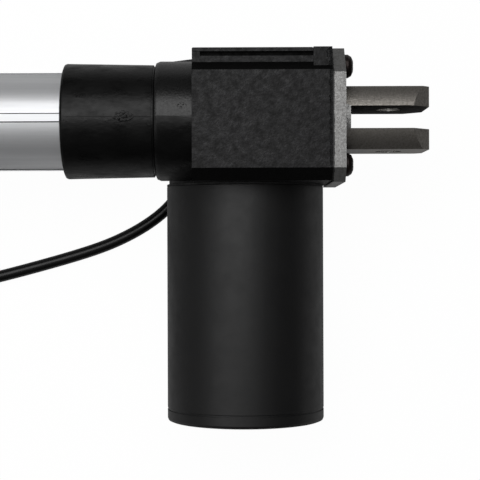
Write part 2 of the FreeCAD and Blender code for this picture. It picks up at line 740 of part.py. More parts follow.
def motor_rear_bush():
    return shaft_bush(CAN_BOTTOM, CAN_BOTTOM + REAR_BUSH, SHAFT_R + REAR_BUSH_WALL)


def worm_end_bush():
    worm_end = WORM_LENGTH / 2
    return shaft_bush(worm_end + SLIDING, worm_end + WORM_BUSH, WORM_ROUND / 2 + WORM_BUSH_WALL)


def motor_magnets():
    low = CORE_TOP - CORE_LENGTH / 2 - MAGNET_LENGTH / 2
    outer = CAN_BORE_R - SEAT
    magnets = []
    for start in (-MAGNET_ANGLE / 2, 180 - MAGNET_ANGLE / 2):
        arc = Part.makeCylinder(outer, MAGNET_LENGTH, vec(0, low, 0), Y_AXIS, MAGNET_ANGLE)
        core = Part.makeCylinder(outer - MAGNET_THICK, MAGNET_LENGTH + 2, vec(0, low - 1, 0), Y_AXIS)
        arc = arc.cut(core).Solids[0]
        middle = math.degrees(math.atan2(arc.CenterOfMass.z, arc.CenterOfMass.x))
        arc.rotate(ORIGIN, Y_AXIS, middle + start + MAGNET_ANGLE / 2)
        arc.translate(vec(MOTOR_X, 0, MOTOR_Z))
        magnets.append(arc)
    return Part.makeCompound(magnets)


def armature_shaft():
    shaft = rod_y(SHAFT_R, CAN_BOTTOM - 0.5, WORM_LENGTH / 2 + WORM_BUSH - 0.5)
    return shaft.fuse(rod_y(WORM_ROUND / 2, -WORM_LENGTH / 2, WORM_LENGTH / 2)).removeSplitter()


def armature_core():
    core = rod_y(CORE_ROUND / 2, CORE_TOP - CORE_LENGTH, CORE_TOP)
    slots = []
    inner = CORE_ROUND / 2 - CORE_SLOT_DEPTH
    for step in range(CORE_SLOTS):
        slot = block(
            (inner, CORE_TOP - CORE_LENGTH - 1, -CORE_SLOT_WIDTH / 2),
            (CORE_ROUND, CORE_TOP + 1, CORE_SLOT_WIDTH / 2),
        )
        slot.rotate(ORIGIN, Y_AXIS, 360.0 * step / CORE_SLOTS)
        slot.translate(vec(MOTOR_X, 0, MOTOR_Z))
        slots.append(slot)
    return core.cut(rod_y(SHAFT_R, CORE_TOP - CORE_LENGTH - 1, CORE_TOP + 1)).cut(slots)


def armature_windings():
    outer = WINDING_ROUND / 2
    inner = SHAFT_R + WINDING_BORE_GAP
    slope = WINDING_LENGTH * 0.4
    ends = []
    for root, away in ((CORE_TOP, 1), (CORE_TOP - CORE_LENGTH, -1)):
        ends.append(lathe_y([
            (inner, root),
            (outer, root),
            (outer, root + away * (WINDING_LENGTH - slope)),
            (outer - slope, root + away * WINDING_LENGTH),
            (inner, root + away * WINDING_LENGTH),
        ]))
    return Part.makeCompound(ends)


def commutator():
    low = COMMUTATOR_TOP - COMMUTATOR_LENGTH
    ring = rod_y(COMMUTATOR_ROUND / 2, low, COMMUTATOR_TOP)
    return ring.cut(rod_y(SHAFT_R, low - 1, COMMUTATOR_TOP + 1))


def brush_plate():
    low = BRUSH_PLATE_TOP - BRUSH_PLATE
    plate = rod_y(CAN_BORE_R - SEAT, low, BRUSH_PLATE_TOP)
    plate = plate.cut(rod_y(SHAFT_R + 2.0, low - 1, BRUSH_PLATE_TOP + 1))
    for z in tie_rod_places():
        plate = plate.cut(rod_y(TIE_ROD / 2 + SEAT, low - 1, BRUSH_PLATE_TOP + 1, MOTOR_X, z))
    return plate


def brushes():
    blocks = []
    near = COMMUTATOR_ROUND / 2 + RUNNING
    for side in (1, -1):
        low_x = MOTOR_X + (near if side > 0 else -near - BRUSH_LENGTH)
        blocks.append(block(
            (low_x, BRUSH_PLATE_TOP, MOTOR_Z - BRUSH_WIDTH / 2),
            (low_x + BRUSH_LENGTH, BRUSH_PLATE_TOP + COMMUTATOR_LENGTH - 2.0, MOTOR_Z + BRUSH_WIDTH / 2),
        ))
    return Part.makeCompound(blocks)


# Cable
CABLE_ROUTE = [
    (-77.0, -14.5, -46.5),
    (-81.5, -22.4, -47.8),
    (-86.4, -30.6, -48.6),
    (-94.6, -37.9, CABLE_Z),
    (-106.0, -45.0, CABLE_Z),
    (-120.0, -50.9, CABLE_Z),
    (-146.0, -58.3, CABLE_Z),
    (-172.0, -64.8, CABLE_Z + 0.2),
    (-198.0, -66.6, CABLE_Z + TIE_THICK),
]
COIL_LEFT_OF_ROUTE = 2.0
RUN_SHARE = 0.45

COIL_BAND = COIL_TURNS_WIDE * CABLE_ROUND
COIL_OUTER = (COIL_MEAN_ROUND + COIL_BAND) / 2
COIL_INNER = (COIL_MEAN_ROUND - COIL_BAND) / 2
COIL_LOW = FLOOR + TIE_THICK
COIL_HIGH = COIL_LOW + COIL_TURNS_HIGH * CABLE_ROUND
COIL_X = CABLE_ROUTE[-1][0] - COIL_LEFT_OF_ROUTE
COIL_Y = CABLE_ROUTE[-1][1] - COIL_OUTER + CABLE_ROUND / 2
PLUG_Y = COIL_Y + COIL_OUTER - CABLE_ROUND / 2
PLUG_Z = FLOOR + PLUG_ROUND / 2


def route_wire():
    """Straight runs joined by tangent arcs as large as the runs allow."""
    points = [vec(*p) for p in CABLE_ROUTE]
    edges = []
    radii = []
    start = points[0]
    for before, corner, after in zip(points, points[1:], points[2:]):
        back = (before - corner).normalize()
        ahead = (after - corner).normalize()
        cut = RUN_SHARE * min((corner - before).Length, (after - corner).Length)
        turn = math.pi - back.getAngle(ahead)
        radius = cut / math.tan(turn / 2)
        radii.append(round(radius, 1))
        enter = corner + back * cut
        leave = corner + ahead * cut
        inward = (back + ahead).normalize()
        middle = corner + inward * (radius / math.cos(turn / 2) - radius)
        edges.append(Part.LineSegment(start, enter).toShape())
        edges.append(Part.Arc(enter, middle, leave).toShape())
        start = leave
    edges.append(Part.LineSegment(start, points[-1]).toShape())
    print("cable bend radii", radii)
    return Part.Wire(edges)


def cable():
    path = route_wire()
    heading = vec(*CABLE_ROUTE[1]) - vec(*CABLE_ROUTE[0])
    section = Part.Wire([Part.makeCircle(CABLE_ROUND / 2, vec(*CABLE_ROUTE[0]), heading)])
    tube = path.makePipeShell([section], True, False)
    expected = path.Length * math.pi * CABLE_ROUND ** 2 / 4
    print("cable length", round(path.Length, 1))
    print("cable volume over section times length", round(tube.Volume / expected, 4))
    return tube


def cable_boot():
    """Moulded exit under the gearbox's back face, with a tapered nose along the cable."""
    tip = vec(*CABLE_ROUTE[0])
    aim = (vec(*CABLE_ROUTE[1]) - tip).normalize()
    root = tip - aim * BOOT_NOSE
    base = rod_z(BOOT_ROUND / 2, -GEARBOX_BACK - BOOT_HEIGHT, -GEARBOX_BACK, root.x, root.y)
    low = -GEARBOX_BACK - BOOT_HEIGHT
    rim = [edge for edge in base.Edges if abs(edge.CenterOfMass.z - low) < 0.01]
    base = base.makeChamfer(BOOT_EDGE, rim)
    nose = Part.makeCone(BOOT_ROUND * 0.36, BOOT_TIP_ROUND / 2, BOOT_NOSE, root, aim)
    return base.fuse(nose)


def cable_coil():
    ring = rod_z(COIL_OUTER, COIL_LOW, COIL_HIGH, COIL_X, COIL_Y)
    return ring.cut(rod_z(COIL_INNER, COIL_LOW - 1, COIL_HIGH + 1, COIL_X, COIL_Y))


def coil_tie():
    """Flat strap round the coil's turns on the side away from the motor."""
    inner = block(
        (COIL_X - COIL_OUTER - SEAT, COIL_Y - TIE_WIDTH, COIL_LOW),
        (COIL_X - COIL_INNER + 1.0, COIL_Y + TIE_WIDTH, COIL_HIGH + SEAT),
    )
    outer = block(
        (COIL_X - COIL_OUTER - TIE_THICK, COIL_Y - TIE_WIDTH / 2, COIL_LOW - TIE_THICK),
        (COIL_X - COIL_INNER + 1.0 + TIE_THICK, COIL_Y + TIE_WIDTH / 2, COIL_HIGH + TIE_THICK),
    )
    return outer.cut(inner)


def cable_tail():
    left = COIL_X - COIL_OUTER * 0.35 - TAIL_LENGTH
    return rod_x(CABLE_ROUND / 2, left, left + TAIL_LENGTH, PLUG_Y, PLUG_Z)


def cable_plug():
    right = COIL_X - COIL_OUTER * 0.35 - TAIL_LENGTH
    neck = CABLE_ROUND / 2 + PLUG_NECK_WALL
    shoulder = right - PLUG_NECK
    face = shoulder - PLUG_LENGTH
    plug = lathe_x([
        (right, 0),
        (right, neck),
        (shoulder, PLUG_ROUND / 2 - 1.0),
        (shoulder, PLUG_ROUND / 2),
        (face, PLUG_ROUND / 2),
        (face, PLUG_NOSE_ROUND / 2),
        (face - PLUG_NOSE, PLUG_NOSE_ROUND / 2),
        (face - PLUG_NOSE, 0),
    ])
    plug.translate(vec(0, PLUG_Y, PLUG_Z))
    return plug


NODES = {
    "rear_clevis": rear_clevis,
    "clevis_screws": clevis_screws,
    "gearbox_housing": gearbox_housing,
    "gearbox_lid": gearbox_lid,
    "lid_screws": lid_screws,
    "outer_tube": outer_tube,
    "tube_collar": tube_collar,
    "tube_end_cap": tube_end_cap,
    "rod_wiper": rod_wiper,
    "limit_switch_board": limit_switch_board,
    "limit_switches": limit_switches,
    "rod_tube": rod_tube,
    "drive_nut": drive_nut,
    "front_fork": front_fork,
    "fork_pin": cross_pin,
    "spindle": spindle,
    "worm_wheel": worm_wheel,
    "spindle_bearing": spindle_bearing,
    "spindle_bush": spindle_bush,
    "spindle_locknut": spindle_locknut,
    "motor_can": motor_can,
    "motor_end_cap": motor_end_cap,
    "motor_tie_rods": motor_tie_rods,
    "motor_front_plate": motor_front_plate,
    "motor_magnets": motor_magnets,
    "armature_shaft": armature_shaft,
    "armature_core": armature_core,
    "armature_windings": armature_windings,
    "commutator": commutator,
    "brush_plate": brush_plate,
    "brushes": brushes,
    "motor_front_bush": motor_front_bush,
    "motor_rear_bush": motor_rear_bush,
    "worm_end_bush": worm_end_bush,
    "cable_boot": cable_boot,
    "cable": cable,
    "cable_coil": cable_coil,
    "coil_tie": coil_tie,
    "cable_tail": cable_tail,
    "cable_plug": cable_plug,
}


def main():
    os.makedirs("parts", exist_ok=True)
    for name, make in NODES.items():
        shape = make()
        save(name, shape)


main()
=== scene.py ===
import json
import math

import bmesh
import bpy
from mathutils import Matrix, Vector, noise


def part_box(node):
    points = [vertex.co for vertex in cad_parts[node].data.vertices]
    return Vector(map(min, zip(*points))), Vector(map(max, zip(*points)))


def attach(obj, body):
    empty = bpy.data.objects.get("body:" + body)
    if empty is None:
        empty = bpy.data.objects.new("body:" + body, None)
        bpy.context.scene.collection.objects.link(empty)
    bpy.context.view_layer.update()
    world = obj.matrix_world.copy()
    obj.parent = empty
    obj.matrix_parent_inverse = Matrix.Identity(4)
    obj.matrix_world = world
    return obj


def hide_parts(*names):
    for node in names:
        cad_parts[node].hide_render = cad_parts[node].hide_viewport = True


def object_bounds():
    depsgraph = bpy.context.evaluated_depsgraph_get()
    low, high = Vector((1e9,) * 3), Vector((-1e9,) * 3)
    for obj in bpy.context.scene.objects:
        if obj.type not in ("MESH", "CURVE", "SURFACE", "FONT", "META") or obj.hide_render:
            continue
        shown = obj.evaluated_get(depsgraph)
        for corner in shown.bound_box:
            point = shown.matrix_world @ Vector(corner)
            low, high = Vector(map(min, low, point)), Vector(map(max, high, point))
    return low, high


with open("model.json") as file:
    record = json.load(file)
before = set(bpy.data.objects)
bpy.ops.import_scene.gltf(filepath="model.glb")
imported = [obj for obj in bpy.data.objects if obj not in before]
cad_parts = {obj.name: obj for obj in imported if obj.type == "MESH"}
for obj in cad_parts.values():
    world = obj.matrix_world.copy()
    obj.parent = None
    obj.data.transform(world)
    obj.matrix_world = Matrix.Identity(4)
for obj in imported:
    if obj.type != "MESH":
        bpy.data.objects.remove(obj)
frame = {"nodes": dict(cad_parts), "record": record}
cad_box = [list(corner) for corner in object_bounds()]
nodes = frame["nodes"]
scene = bpy.context.scene

# Lengths are in millimetres, and MM turns them into Blender's metres
MM = 0.001


def box_mm(node):
    """Lowest and highest corner of a node, in millimetres."""
    return [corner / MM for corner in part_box(node)]


# Places read from the model
collar_low, collar_high = box_mm("tube_collar")
can_low, can_high = box_mm("motor_can")
coil_low, coil_high = box_mm("cable_coil")
plug_low, plug_high = box_mm("cable_plug")
housing_right = box_mm("gearbox_housing")[1].x
end_cap_rear = box_mm("tube_end_cap")[1].x
front_fork_tip = box_mm("front_fork")[0].x
floor_z = cad_box[0][2] / MM

# Sizes and limits on the model's solids that their boxes don't give
NECK_RADIUS = 23.2
NECK_RIGHT = -75.7
COLLAR_GAP = 0.6
COLLAR_DRAFT = 0.6
CORNER_BLOCK_FRONT = 23.3
CORNER_BLOCK_BOTTOM = 18.3
CHAMFERS_ABOVE = 18.0
LID_TOP = 25.8
LID_GROOVE_BOTTOM = 22.6
LID_GROOVE_FLOOR = 20.3
EARS_FROM = -12.5
PIVOT_RADIUS = 5.05
FORK_SLOT_HALF = 4.25
FORK_SLOT_DEPTH = 16.0
FRONT_FORK_REACH = 13.0
TUBE_RADIUS = 18.6
RIB_HALF = 1.4
SEAM_WIDTH = 0.7
SEAM_FLOOR = 29.4
BOOT_TIP_RADIUS = 3.3
BOOT_ROOT_RADIUS = 4.68
BOOT_NOSE_LENGTH = 14.0

# Camera: the photo looks straight down on the part as it lies
CAMERA_PLACE = (-57.9, -46.3, 526.0)
CAMERA_ROLL = -0.2
PICTURE_WIDTH = 187.2
SENSOR_WIDTH = 36.0

lens = bpy.data.cameras.new("photo_camera")
lens.sensor_width = SENSOR_WIDTH
lens.lens = SENSOR_WIDTH * CAMERA_PLACE[2] / PICTURE_WIDTH
camera = bpy.data.objects.new("photo_camera", lens)
camera.location = Vector(CAMERA_PLACE) * MM
camera.rotation_euler = (0, 0, math.radians(CAMERA_ROLL))
scene.collection.objects.link(camera)
scene.camera = camera
scene.view_settings.view_transform = "Standard"


# Materials
def linear(hex_colour):
    """An sRGB hex value as linear red, green, blue, alpha."""
    def channel(pair):
        c = int(pair, 16) / 255
        return c / 12.92 if c <= 0.04045 else ((c + 0.055) / 1.055) ** 2.4
    digits = hex_colour.lstrip("#")
    return tuple(channel(digits[i:i + 2]) for i in (0, 2, 4)) + (1.0,)


def add(tree, kind, inputs=None, **settings):
    """Add a node with its settings, and link or set its inputs."""
    made = tree.nodes.new(kind)
    for name, value in settings.items():
        setattr(made, name, value)
    for name, value in (inputs or {}).items():
        socket = made.inputs[name]
        if isinstance(value, bpy.types.NodeSocket):
            tree.links.new(value, socket)
        else:
            socket.default_value = value
    return made


def per_mm(size):
    """Texture scale for features of this size in millimetres."""
    return 1 / (size * MM)


def empty_tree(name):
    material = bpy.data.materials.new(name)
    material.use_nodes = True
    material.node_tree.nodes.clear()
    return material, material.node_tree


# Soft clouds that shift colour and gloss, and a fine grain in relief
CLOUD_DETAIL = 6.0
CLOUD_BREAKUP = 0.65
CLOUD_RANGE = (0.35, 0.65)
GRAIN_DETAIL = 3.0
GRAIN_BREAKUP = 0.5

# A torn skin along the gearbox's right side: "flash" lifts off the moulding, and "film" is that skin's
# hem where it laps over the plate
TEAR_SIZE = 2.0
TEAR_DETAIL = 4.0
TEAR_BREAKUP = 0.7
HEM_AT = {"flash": -23.0, "film": -22.2}
HEM_RAGGED = {"flash": 2.6, "film": 1.0}
HEM_SLOPE = 0.2
FLASH_LIFT = 0.9
FILM_COLOUR = "#070707"


def torn_hem(tree, place, edge):
    """The noise that tears the skin, and how far a point lies past its hem, from 0 to 1."""
    split = add(tree, "ShaderNodeSeparateXYZ", {"Vector": place})
    torn = add(tree, "ShaderNodeTexNoise", {
        "Vector": place, "Scale": per_mm(TEAR_SIZE), "Detail": TEAR_DETAIL, "Roughness": TEAR_BREAKUP})
    reach = add(tree, "ShaderNodeMath", {
        0: torn.outputs["Fac"], 1: HEM_RAGGED[edge] * MM, 2: split.outputs["X"]}, operation="MULTIPLY_ADD")
    past = add(tree, "ShaderNodeMapRange", {
        "Value": reach.outputs[0], "From Min": HEM_AT[edge] * MM,
        "From Max": (HEM_AT[edge] + HEM_SLOPE) * MM})
    return torn.outputs["Fac"], past.outputs["Result"]


def finish(name, light, dark, gloss, clouds_mm, grain_mm, relief_mm,
           metallic=0.0, stretch=(1, 1, 1), edge=None, sockets=None):
    """Two close colours and two close roughnesses in soft clouds, over a fine grain in relief.

    gloss is the roughness of the light clouds and of the dark ones. stretch below 1 draws the pattern
    out along that axis. edge is what the torn skin does to the finish: "flash", "film" or nothing.
    """
    material, tree = empty_tree(name)
    place = add(tree, "ShaderNodeTexCoord").outputs["Object"]
    drawn = add(tree, "ShaderNodeMapping", {"Vector": place, "Scale": stretch}).outputs["Vector"]
    clouds = add(tree, "ShaderNodeTexNoise", {
        "Vector": drawn, "Scale": per_mm(clouds_mm), "Detail": CLOUD_DETAIL, "Roughness": CLOUD_BREAKUP})
    grain = add(tree, "ShaderNodeTexNoise", {
        "Vector": drawn, "Scale": per_mm(grain_mm), "Detail": GRAIN_DETAIL, "Roughness": GRAIN_BREAKUP})
    shade = add(tree, "ShaderNodeMapRange", {
        "Value": clouds.outputs["Fac"], "From Min": CLOUD_RANGE[0], "From Max": CLOUD_RANGE[1]})
    colour = add(tree, "ShaderNodeMix", {
        "Factor": shade.outputs["Result"], "A": linear(dark), "B": linear(light)},
        data_type="RGBA").outputs["Result"]
    rough = add(tree, "ShaderNodeMapRange", {
        "Value": shade.outputs["Result"], "To Min": gloss[1], "To Max": gloss[0]})
    relief = add(tree, "ShaderNodeBump", {"Height": grain.outputs["Fac"], "Distance": relief_mm * MM})
    if edge:
        torn, past = torn_hem(tree, place, edge)
    if edge == "flash":
        lumps = add(tree, "ShaderNodeMath", {0: past, 1: torn}, operation="MULTIPLY")
        relief = add(tree, "ShaderNodeBump", {
            "Height": lumps.outputs[0], "Distance": FLASH_LIFT * MM, "Normal": relief.outputs["Normal"]})
    elif edge == "film":
        colour = add(tree, "ShaderNodeMix", {
            "Factor": past, "A": linear(FILM_COLOUR), "B": colour}, data_type="RGBA").outputs["Result"]
        metallic = add(tree, "ShaderNodeMath", {0: past, 1: metallic}, operation="MULTIPLY").outputs[0]
    shader = add(tree, "ShaderNodeBsdfPrincipled", {
        "Base Color": colour, "Metallic": metallic, "Roughness": rough.outputs["Result"],
        "Normal": relief.outputs["Normal"], **(sockets or {})})
    add(tree, "ShaderNodeOutputMaterial", {"Surface": shader.outputs["BSDF"]})
    return material


# Real grain on most of these surfaces is finer than half a millimetre and would not show in the render,
# so it is drawn about that coarse and kept shallow. Some patterns are drawn out one way:
ALONG_THE_TUBE = (0.02, 1, 1)
ROUND_THE_BAR = (1, 0.05, 0.05)
ALONG_THE_COLLAR = (0.6, 1, 1)

# Extruded aluminium, satin: die lines along the tube draw its reflections out into bands
extruded_aluminium = finish(
    "extruded_aluminium", "#E2E3E5", "#D6D7D9", gloss=(0.42, 0.5),
    clouds_mm=4.0, grain_mm=0.6, relief_mm=0.02, metallic=0.72, stretch=ALONG_THE_TUBE)
# The same aluminium at the feet of the ribs, dull and dark: painted shade along the creases there
rib_foot_shade_aluminium = finish(
    "extruded_aluminium_painted_rib_shade", "#4E4F51", "#3F4042", gloss=(0.5, 0.6),
    clouds_mm=4.0, grain_mm=0.6, relief_mm=0.02, metallic=0.72, stretch=ALONG_THE_TUBE)
# Glass-filled nylon, moulded: near black and dull, with cloudy flow marks and scuffs
filled_nylon = finish(
    "filled_nylon_moulding", "#131315", "#060606", gloss=(0.4, 0.64),
    clouds_mm=2.2, grain_mm=0.8, relief_mm=0.13, edge="flash",
    sockets={"IOR": 1.53, "Specular IOR Level": 0.27})
# The same nylon on the neck, where the cavity wore smooth: fine bright mottling
neck_nylon = finish(
    "filled_nylon_neck", "#070707", "#030303", gloss=(0.25, 0.38),
    clouds_mm=0.9, grain_mm=0.8, relief_mm=0.06,
    sockets={"IOR": 1.53, "Specular IOR Level": 0.36})
# The same nylon from a polished cavity: glossier in patches, faintly rippled where it sank over its walls
polished_nylon = finish(
    "polished_nylon_moulding", "#060606", "#030303", gloss=(0.22, 0.48),
    clouds_mm=5.0, grain_mm=1.3, relief_mm=0.07, stretch=ALONG_THE_COLLAR,
    sockets={"IOR": 1.53, "Specular IOR Level": 0.2})
# The same nylon in the lid's groove and on the chamfers, made dull and dark as painted shade
groove_and_chamfer_shade_nylon = finish(
    "filled_nylon_painted_shade", "#040404", "#010101", gloss=(0.6, 0.8),
    clouds_mm=2.0, grain_mm=0.8, relief_mm=0.05,
    sockets={"IOR": 1.53, "Specular IOR Level": 0.1})
# Stoved black paint on a drawn steel can: even satin with a slight orange peel
stoved_paint = finish(
    "stoved_black_paint", "#0B0B0C", "#070708", gloss=(0.46, 0.54),
    clouds_mm=6.0, grain_mm=0.7, relief_mm=0.015, sockets={"IOR": 1.5})
# Aluminium die casting, shot-blasted: warm grey metal with a pitted, faintly sparkling skin
blasted_aluminium = finish(
    "blasted_aluminium_casting", "#98948E", "#7A7671", gloss=(0.36, 0.5),
    clouds_mm=0.8, grain_mm=0.5, relief_mm=0.06, metallic=1.0)
# The same casting at its plate: a cooler grey, with the torn hem of the housing's black skin over it
filmed_aluminium = finish(
    "blasted_aluminium_with_nylon_film", "#929291", "#7A7978", gloss=(0.4, 0.5),
    clouds_mm=0.8, grain_mm=0.5, relief_mm=0.055, metallic=1.0, edge="film")
# The casting in the slot, made dark and dull as painted shade on the slot's walls
slot_shade_aluminium = finish(
    "aluminium_slot_painted_shade", "#241F19", "#14110D", gloss=(0.7, 0.85),
    clouds_mm=1.6, grain_mm=0.7, relief_mm=0.08, metallic=0.2, sockets={"Specular IOR Level": 0.15})
# The casting reamed for the pivot pin: bright, with fine turned lines
reamed_aluminium = finish(
    "reamed_aluminium_bore", "#F1F0EE", "#E4E3E0", gloss=(0.2, 0.28),
    clouds_mm=1.0, grain_mm=0.4, relief_mm=0.001, metallic=1.0)
# Black oxide on steel screws: dark brown metal with an oily sheen
black_oxide = finish(
    "black_oxide_steel", "#2A2220", "#191413", gloss=(0.32, 0.5),
    clouds_mm=2.0, grain_mm=0.5, relief_mm=0.02, metallic=0.7)
# Ground steel: bright, with fine lines round the bar
ground_steel = finish(
    "ground_steel", "#CBCCCD", "#B9BABB", gloss=(0.16, 0.22),
    clouds_mm=3.0, grain_mm=0.5, relief_mm=0.0008, metallic=1.0, stretch=ROUND_THE_BAR)
# Natural nylon, machined: milky white and dull
natural_nylon = finish(
    "natural_nylon", "#E6E3D8", "#D6D2C4", gloss=(0.42, 0.55),
    clouds_mm=4.0, grain_mm=0.6, relief_mm=0.02, sockets={"IOR": 1.53})
# Sintered bronze: warm porous metal
sintered_bronze = finish(
    "sintered_bronze", "#B58A4E", "#94703E", gloss=(0.38, 0.55),
    clouds_mm=2.0, grain_mm=0.4, relief_mm=0.04, metallic=1.0)
# Ferrite and lamination steel: dark grey, dull and slightly gritty
dull_ferrite = finish(
    "dull_ferrite", "#4E4F51", "#3C3D3F", gloss=(0.5, 0.68),
    clouds_mm=2.0, grain_mm=0.5, relief_mm=0.03, metallic=0.4)
# Enamelled copper: orange brown and glossy
enamelled_copper = finish(
    "enamelled_copper", "#B5672F", "#8F4A20", gloss=(0.24, 0.38),
    clouds_mm=1.5, grain_mm=0.5, relief_mm=0.05, metallic=1.0)
# Solder mask over fibre board: even green gloss
solder_mask = finish(
    "solder_mask_board", "#1E5A34", "#17482A", gloss=(0.3, 0.4),
    clouds_mm=2.0, grain_mm=0.6, relief_mm=0.01, sockets={"IOR": 1.5})
# Soft PVC, extruded: a smooth black jacket with one soft line of light along it
soft_pvc = finish(
    "soft_pvc_jacket", "#070707", "#030303", gloss=(0.25, 0.34),
    clouds_mm=4.0, grain_mm=0.9, relief_mm=0.01, sockets={"IOR": 1.53, "Specular IOR Level": 0.3})
# Black rubber, moulded: dull and slightly dusty
black_rubber = finish(
    "black_rubber_moulding", "#1B1B1B", "#121212", gloss=(0.6, 0.78),
    clouds_mm=3.0, grain_mm=0.7, relief_mm=0.04, sockets={"IOR": 1.52})

SLOT_FINISHES = {
    "cast_alloy": blasted_aluminium,
    "black_steel": black_oxide,
    "black_moulding": filled_nylon,
    "tube_aluminium": extruded_aluminium,
    "bright_steel": ground_steel,
    "white_nylon": natural_nylon,
    "bronze": sintered_bronze,
    "motor_black": stoved_paint,
    "magnet_grey": dull_ferrite,
    "copper": enamelled_copper,
    "board_green": solder_mask,
    "black_rubber": black_rubber,
}


def dress(thing, material):
    thing.data.materials.clear()
    thing.data.materials.append(material)


for subpart in frame["record"]["subparts"]:
    dress(nodes[subpart["node"]], SLOT_FINISHES[subpart["material_slot"]])
for sleeve in ("tube_collar", "tube_end_cap"):
    dress(nodes[sleeve], polished_nylon)
dress(nodes["rear_clevis"], filmed_aluminium)

# Faces that have another skin than the rest of their casting or moulding
FACE_SLACK = 0.1
NECK_SKIN = 2.0
FACING = 0.9
SLANTED = 0.6
EDGE_ON = 0.3


def add_skin(thing, material):
    """Give a node one more material, and return its number there."""
    thing.data.materials.append(material)
    return len(thing.data.materials) - 1


def skin_fork(fork, pivot_x):
    """The slot's walls take painted shade, and the bore is reamed."""
    slot_shade_skin = add_skin(fork, slot_shade_aluminium)
    bore_skin = add_skin(fork, reamed_aluminium)
    for face in fork.data.polygons:
        x, y, z = face.center / MM
        across = abs(face.normal.y)
        if math.hypot(x - pivot_x, z) < PIVOT_RADIUS + FACE_SLACK and across < EDGE_ON:
            face.material_index = bore_skin
        elif abs(y) < FORK_SLOT_HALF + FACE_SLACK and across > FACING and abs(x - pivot_x) < FORK_SLOT_DEPTH:
            face.material_index = slot_shade_skin


def skin_ears(clevis):
    """The ears stand clear of the film on the plate."""
    ear_skin = add_skin(clevis, blasted_aluminium)
    for face in clevis.data.polygons:
        if face.material_index == 0 and face.center.x > EARS_FROM * MM:
            face.material_index = ear_skin


def skin_housing(housing):
    """The neck's halves came smoother from the mould than the faces, with the lower half in a duller nylon
    as painted shade; the chamfers and the groove take a dull dark nylon as painted shade.
    """
    lit_upper_neck = add_skin(housing, neck_nylon)
    shaded_lower_neck = add_skin(housing, polished_nylon)
    painted_shade_skin = add_skin(housing, groove_and_chamfer_shade_nylon)
    for face in housing.data.polygons:
        x, y, z = face.center / MM
        upward = face.normal.z > SLANTED
        if x < NECK_RIGHT and NECK_RADIUS - NECK_SKIN < math.hypot(y, z) < NECK_RADIUS + FACE_SLACK:
            # Painted shade: the neck's lower half takes the collar's duller nylon so that it renders darker
            # than the upper half
            face.material_index = lit_upper_neck if y > 0 else shaded_lower_neck
        elif z > CHAMFERS_ABOVE and upward and abs(face.normal.y) > SLANTED:
            face.material_index = painted_shade_skin
        elif y > LID_GROOVE_BOTTOM and CHAMFERS_ABOVE < z < LID_GROOVE_FLOOR and upward:
            face.material_index = painted_shade_skin


skin_housing(nodes["gearbox_housing"])
skin_fork(nodes["rear_clevis"], 0.0)
skin_ears(nodes["rear_clevis"])
skin_fork(nodes["front_fork"], front_fork_tip + FRONT_FORK_REACH)

# Cast, moulded and drawn edges are broken by these widths, so that they catch the light
EDGE_BREAK = {
    "rear_clevis": 0.5,
    "front_fork": 0.5,
    "gearbox_housing": 0.4,
    "motor_can": 0.3,
    "tube_end_cap": 0.3,
}
BREAK_STEPS = 2
BREAK_ABOVE_DEGREES = 38
WELD_WITHIN = 0.002
LARGE_FACES_LEAD = 100


def break_edges(thing, width):
    """Join the faces, bevel the sharp edges, and let the large faces lead the shading."""
    weld = thing.modifiers.new("weld", "WELD")
    weld.merge_threshold = WELD_WITHIN * MM
    edge = thing.modifiers.new("edge_break", "BEVEL")
    edge.width = width * MM
    edge.segments = BREAK_STEPS
    edge.limit_method = "ANGLE"
    edge.angle_limit = math.radians(BREAK_ABOVE_DEGREES)
    edge.material = 0
    shading = thing.modifiers.new("shading", "WEIGHTED_NORMAL")
    shading.mode = "FACE_AREA"
    shading.weight = LARGE_FACES_LEAD


for name, width in EDGE_BREAK.items():
    break_edges(nodes[name], width)


# Ways of making pieces
def piece(data, material):
    """Put a mesh or a curve on the housing under its own name, with a finish."""
    made = bpy.data.objects.new(data.name, data)
    scene.collection.objects.link(made)
    dress(made, material)
    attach(made, "housing")
    return made


def mesh_from(name, points, faces, smooth):
    """A mesh from points in millimetres, with its faces turned outwards."""
    mesh = bpy.data.meshes.new(name)
    mesh.from_pydata([Vector(p) * MM for p in points], [], faces)
    shape = bmesh.new()
    shape.from_mesh(mesh)
    bmesh.ops.recalc_face_normals(shape, faces=shape.faces)
    shape.to_mesh(mesh)
    shape.free()
    for face in mesh.polygons:
        face.use_smooth = smooth
    return mesh


def ring_quads(rings, steps, closed):
    """Quads between rings of so many points each; a closed ring joins its last point to its first."""
    faces = []
    for ring in range(rings - 1):
        for k in range(steps if closed else steps - 1):
            a = ring * steps + k
            b = ring * steps + (k + 1) % steps
            faces.append((a, b, b + steps, a + steps))
    return faces


def turned(name, outline, start, aim, steps=48, hollow=False):
    """Turn (distance, radius) points about a line from start along aim: a closed body, or a hollow hoop."""
    aim = Vector(aim).normalized()
    across = aim.cross(Vector((0, 0, 1))).normalized()
    over = across.cross(aim)
    points = []
    for along, radius in outline:
        centre = Vector(start) + aim * along
        for k in range(steps):
            angle = 2 * math.pi * k / steps
            points.append(centre + (across * math.cos(angle) + over * math.sin(angle)) * radius)
    faces = ring_quads(len(outline), steps, True)
    first = tuple(range(steps))
    last = tuple(range((len(outline) - 1) * steps, len(outline) * steps))
    if hollow:
        faces += [(last[k - 1], last[k], first[k], first[k - 1]) for k in range(steps)]
    else:
        faces += [first, last]
    return mesh_from(name, points, faces, smooth=False)


PATCH_SUNK = 0.4


